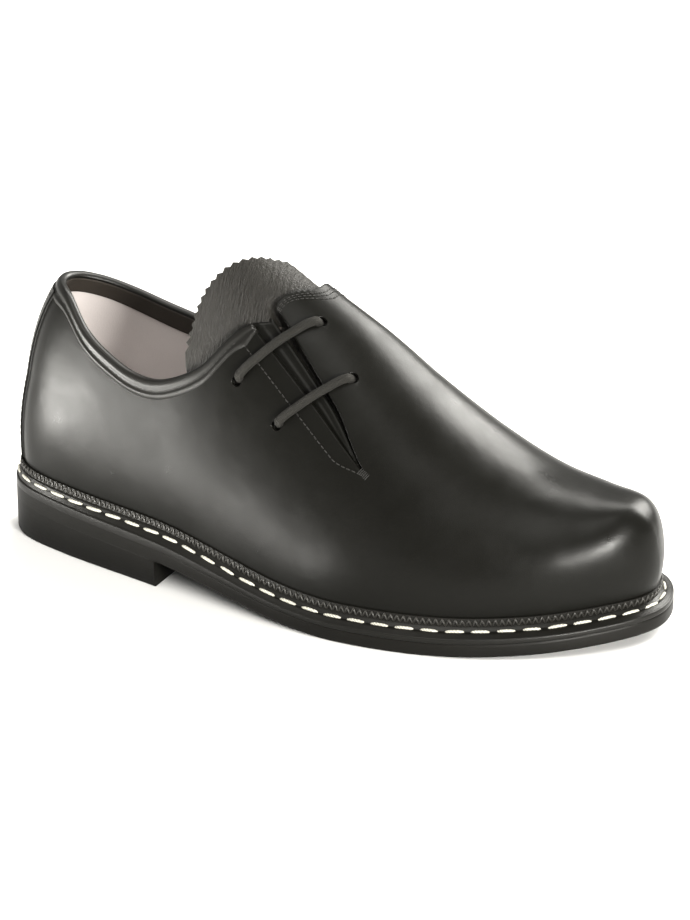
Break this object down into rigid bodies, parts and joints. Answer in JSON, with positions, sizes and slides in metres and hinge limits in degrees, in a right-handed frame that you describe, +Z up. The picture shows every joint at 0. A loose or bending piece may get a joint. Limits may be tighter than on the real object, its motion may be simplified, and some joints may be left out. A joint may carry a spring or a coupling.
{
  "type": "side-laced welted walking shoe",
  "caption": "Right low shoe in smooth black leather: side slit with lace bars over a pinked tongue, bound collar, stitched welt with a serrated rim, and a low stacked heel.",
  "frame": {"origin": "on the floor under the middle of the whole shoe's box", "axes": "+X to the toe, -Y to the lateral side with the slit, +Z up, the shoe standing on heel and ball"},
  "size_m": [0.236, 0.0874, 0.114],
  "materials": {
    "upper_leather": "smooth black calf leather, satin, with a faint warm green-grey sheen",
    "binding_leather": "folded black leather band with a polished ridge",
    "tongue_leather": "crinkled charcoal leather with a pinked edge",
    "welt_leather": "waxed black welt leather with a serrated rim and off-white stitches",
    "insole_leather": "pale lilac-grey lining leather",
    "lining_fabric": "pale lilac-grey lining",
    "stitch_thread": "waxed off-white linen thread",
    "dark_thread": "waxed dark thread",
    "lace_cord": "round braided black cord",
    "outsole_rubber": "black sole rubber with a satin trimmed edge",
    "heel_rubber": "black heel rubber with a satin trimmed edge"
  },
  "bodies": {
    "root": {"outsole": "outsole_rubber", "heel": "heel_rubber", "welt": "welt_leather", "insole": "insole_leather", "upper": "upper_leather", "collar_binding": "binding_leather", "heel_strip": "upper_leather", "tongue": "tongue_leather", "lace_bar_top": "lace_cord", "lace_bar_low": "lace_cord"}
  },
  "joints": []
}
